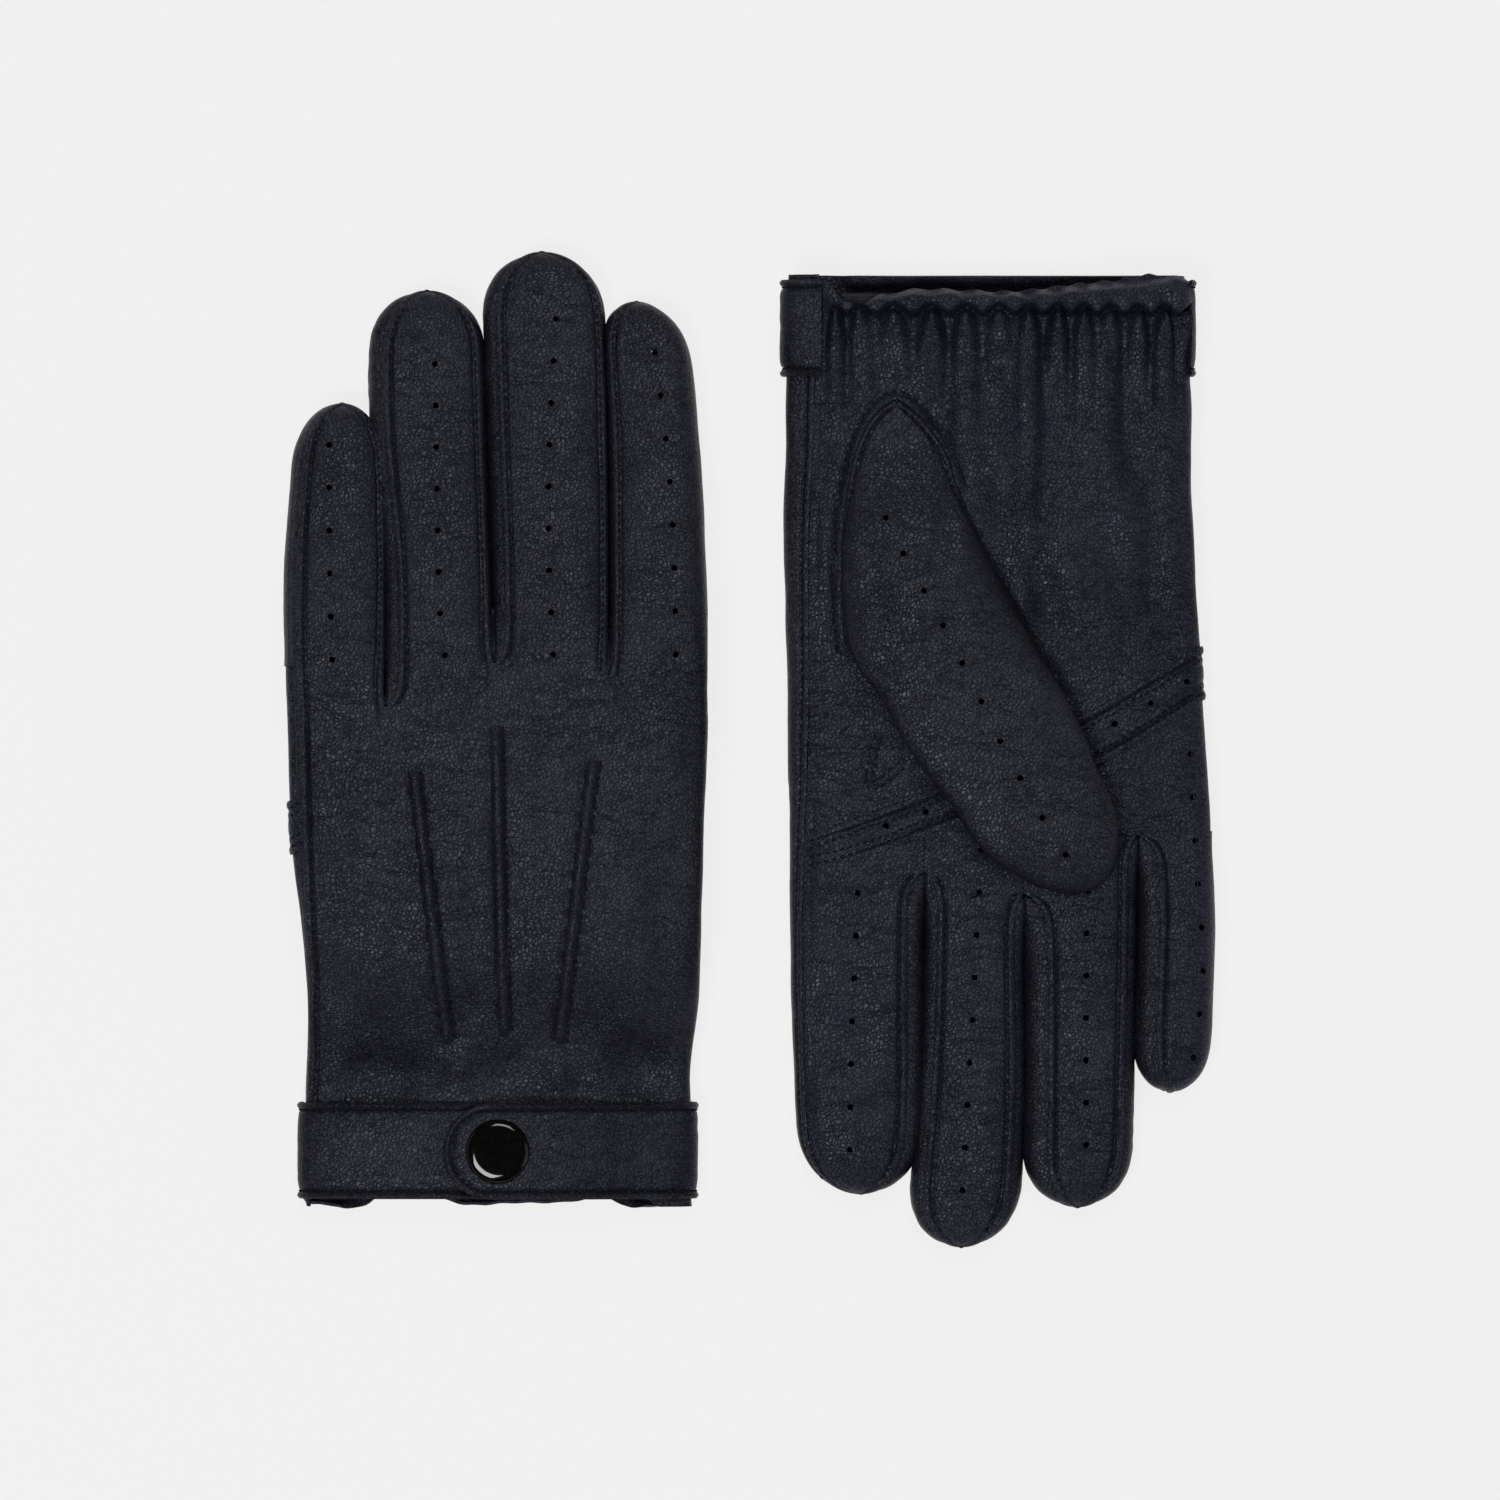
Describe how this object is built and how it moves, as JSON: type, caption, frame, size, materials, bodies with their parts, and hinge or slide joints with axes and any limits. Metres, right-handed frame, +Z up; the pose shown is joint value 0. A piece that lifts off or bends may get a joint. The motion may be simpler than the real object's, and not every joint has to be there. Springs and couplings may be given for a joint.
{
  "type": "leather driving gloves",
  "caption": "Pair of unlined leather driving gloves laid flat, with perforated fingers, pintucked backs, folded thumbs and a wrist strap closed by a domed snap",
  "frame": {"origin": "centre of the pair as laid flat, on the surface it lies on", "axes": "+X across the pair towards the glove that lies palm up, +Y along the left glove from cuff to fingertips, +Z up from the surface"},
  "size_m": [0.2168, 0.2318, 0.0254],
  "materials": {
    "glove_leather": "fine-grain sheepskin dyed dark navy black, soft sheen",
    "strap_leather": "same leather, doubled and edge-stitched",
    "snap_enamel": "gloss black enamel",
    "snap_metal": "blackened spring brass",
    "elastic": "woven black elastic"
  },
  "bodies": {
    "left_hand": {"left_back": "glove_leather", "left_palm_heel": "glove_leather", "left_palm_band": "glove_leather", "left_palm_front": "glove_leather", "left_wrist_elastic": "elastic", "left_thumb_base": "glove_leather", "left_strap_anchor": "strap_leather", "left_strap_inner": "strap_leather", "left_snap_stud": "snap_metal", "left_snap_post": "snap_metal"},
    "left_little_finger": {"left_little_back": "glove_leather", "left_little_front": "glove_leather", "left_little_fourchette_index_side": "glove_leather"},
    "left_ring_finger": {"left_ring_back": "glove_leather", "left_ring_front": "glove_leather", "left_ring_fourchette_index_side": "glove_leather", "left_ring_fourchette_little_side": "glove_leather"},
    "left_middle_finger": {"left_middle_back": "glove_leather", "left_middle_front": "glove_leather", "left_middle_fourchette_index_side": "glove_leather", "left_middle_fourchette_little_side": "glove_leather"},
    "left_index_finger": {"left_index_back": "glove_leather", "left_index_front": "glove_leather", "left_index_fourchette_little_side": "glove_leather"},
    "left_thumb": {"left_thumb_outer": "glove_leather", "left_thumb_inner": "glove_leather"},
    "left_strap_tab": {"left_strap_tab": "strap_leather", "left_snap_cap": "snap_enamel", "left_snap_socket": "snap_metal"},
    "right_hand": {"right_back": "glove_leather", "right_palm_heel": "glove_leather", "right_palm_band": "glove_leather", "right_palm_front": "glove_leather", "right_wrist_elastic": "elastic", "right_thumb_base": "glove_leather", "right_strap_anchor": "strap_leather", "right_strap_inner": "strap_leather", "right_snap_stud": "snap_metal", "right_snap_post": "snap_metal"},
    "right_little_finger": {"right_little_back": "glove_leather", "right_little_front": "glove_leather", "right_little_fourchette_index_side": "glove_leather"},
    "right_ring_finger": {"right_ring_back": "glove_leather", "right_ring_front": "glove_leather", "right_ring_fourchette_index_side": "glove_leather", "right_ring_fourchette_little_side": "glove_leather"},
    "right_middle_finger": {"right_middle_back": "glove_leather", "right_middle_front": "glove_leather", "right_middle_fourchette_index_side": "glove_leather", "right_middle_fourchette_little_side": "glove_leather"},
    "right_index_finger": {"right_index_back": "glove_leather", "right_index_front": "glove_leather", "right_index_fourchette_little_side": "glove_leather"},
    "right_thumb": {"right_thumb_outer": "glove_leather", "right_thumb_inner": "glove_leather"},
    "right_strap_tab": {"right_strap_tab": "strap_leather", "right_snap_cap": "snap_enamel", "right_snap_socket": "snap_metal"}
  },
  "joints": [
    {"name": "left_little_bend", "type": "hinge", "parent": "left_hand", "child": "left_little_finger", "pos_m": [-0.0965, 0.024, 0.00978], "axis": [-1, 0, 0], "range_deg": [0, 85]},
    {"name": "left_ring_bend", "type": "hinge", "parent": "left_hand", "child": "left_ring_finger", "pos_m": [-0.0716, 0.037, 0.00834], "axis": [-1, 0, 0], "range_deg": [0, 85]},
    {"name": "left_middle_bend", "type": "hinge", "parent": "left_hand", "child": "left_middle_finger", "pos_m": [-0.04565, 0.036, 0.00848], "axis": [-1, 0, 0], "range_deg": [0, 85]},
    {"name": "left_index_bend", "type": "hinge", "parent": "left_hand", "child": "left_index_finger", "pos_m": [-0.02075, 0.032, 0.009], "axis": [-1, 0, 0], "range_deg": [0, 85]},
    {"name": "left_thumb_lift", "type": "hinge", "parent": "left_hand", "child": "left_thumb", "pos_m": [-0.04664, -0.02446, 0], "axis": [-0.9244, -0.3814, 0], "range_deg": [0, 70]},
    {"name": "left_strap_open", "type": "hinge", "parent": "left_hand", "child": "left_strap_tab", "pos_m": [-0.02099, -0.0932, 0.01101], "axis": [0, 1, 0], "range_deg": [0, 110]},
    {"name": "right_little_bend", "type": "hinge", "parent": "right_hand", "child": "right_little_finger", "pos_m": [0.0998, -0.024, 0.01351], "axis": [-1, 0, 0], "range_deg": [0, 85]},
    {"name": "right_ring_bend", "type": "hinge", "parent": "right_hand", "child": "right_ring_finger", "pos_m": [0.07725, -0.037, 0.01338], "axis": [-1, 0, 0], "range_deg": [0, 85]},
    {"name": "right_middle_bend", "type": "hinge", "parent": "right_hand", "child": "right_middle_finger", "pos_m": [0.0516, -0.036, 0.01339], "axis": [-1, 0, 0], "range_deg": [0, 85]},
    {"name": "right_index_bend", "type": "hinge", "parent": "right_hand", "child": "right_index_finger", "pos_m": [0.0236, -0.032, 0.01345], "axis": [-1, 0, 0], "range_deg": [0, 85]},
    {"name": "right_thumb_lift", "type": "hinge", "parent": "right_hand", "child": "right_thumb", "pos_m": [0.04664, 0.02446, 0.02431], "axis": [-0.9244, -0.3814, 0], "range_deg": [0, 70]},
    {"name": "right_strap_open", "type": "hinge", "parent": "right_hand", "child": "right_strap_tab", "pos_m": [0.01674, 0.098, 0.00611], "axis": [0, 1, 0], "range_deg": [0, 110]},
    {"name": "right_glove_lift", "type": "slide", "parent": "left_hand", "child": "right_hand", "axis": [0, 0, 1], "range_m": [0, 0.08]}
  ]
}
